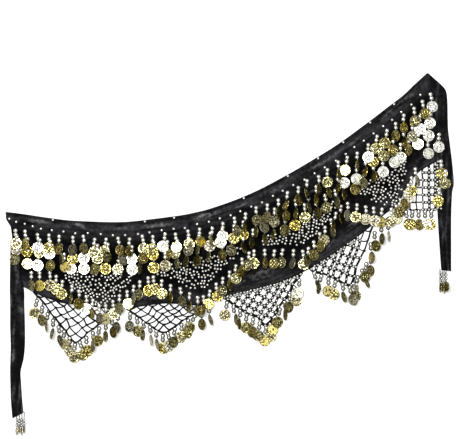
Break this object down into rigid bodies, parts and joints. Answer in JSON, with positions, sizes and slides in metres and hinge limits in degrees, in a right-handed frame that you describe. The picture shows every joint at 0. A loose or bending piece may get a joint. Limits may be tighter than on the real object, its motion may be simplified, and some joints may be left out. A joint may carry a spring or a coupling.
{
  "type": "belly dance hip scarf",
  "caption": "curved black velvet strip laid flat, with an end tie at each side, shingled rows of hanging coins and coin-edged cord nets below its lower edge",
  "frame": {"origin": "middle of the whole outline seen from above, on the surface that the scarf lies on", "axes": "+Z up out of the cloth's face, +Y up in the picture from the ties towards the waist edge, +X to the picture's right, so that the strip rises towards +X"},
  "size_m": [0.7846, 0.6334, 0.0144],
  "materials": {
    "velvet": "crushed black velvet with a soft nap",
    "net_cord": "thin black cord, knotted",
    "coin_metal": "thin stamped pale gold coins on pairs of silver beads",
    "bead_silver": "silver-coated glass beads, slightly warm"
  },
  "bodies": {
    "root": {"body_panel": "velvet", "left_tie": "velvet", "right_tie": "velvet", "left_tassel": "bead_silver", "right_tassel": "bead_silver", "coins_upper_1": "coin_metal", "coins_upper_2": "coin_metal", "coins_upper_3": "coin_metal", "coins_upper_4": "coin_metal", "coins_upper_5": "coin_metal", "coins_upper_6": "coin_metal", "coins_middle_1": "coin_metal", "coins_middle_2": "coin_metal", "coins_middle_3": "coin_metal", "coins_middle_4": "coin_metal", "coins_middle_5": "coin_metal", "coins_middle_6": "coin_metal", "coins_lower_1": "coin_metal", "coins_lower_2": "coin_metal", "coins_lower_3": "coin_metal", "coins_lower_4": "coin_metal", "coins_lower_5": "coin_metal", "coins_lower_6": "coin_metal", "coins_zigzag_1": "coin_metal", "coins_zigzag_2": "coin_metal", "coins_zigzag_3": "coin_metal", "coins_zigzag_4": "coin_metal", "coins_zigzag_5": "coin_metal", "coins_zigzag_6": "coin_metal", "coins_zigzag_7": "coin_metal", "coins_zigzag_8": "coin_metal", "net_1": "net_cord", "net_coins_1_left": "coin_metal", "net_coins_1_right": "coin_metal", "net_2": "net_cord", "net_coins_2_left": "coin_metal", "net_coins_2_right": "coin_metal", "net_3": "net_cord", "net_coins_3_left": "coin_metal", "net_coins_3_right": "coin_metal", "net_4": "net_cord", "net_coins_4_left": "coin_metal", "net_coins_4_right": "coin_metal", "net_5": "net_cord", "net_coins_5": "coin_metal"}
  },
  "joints": []
}
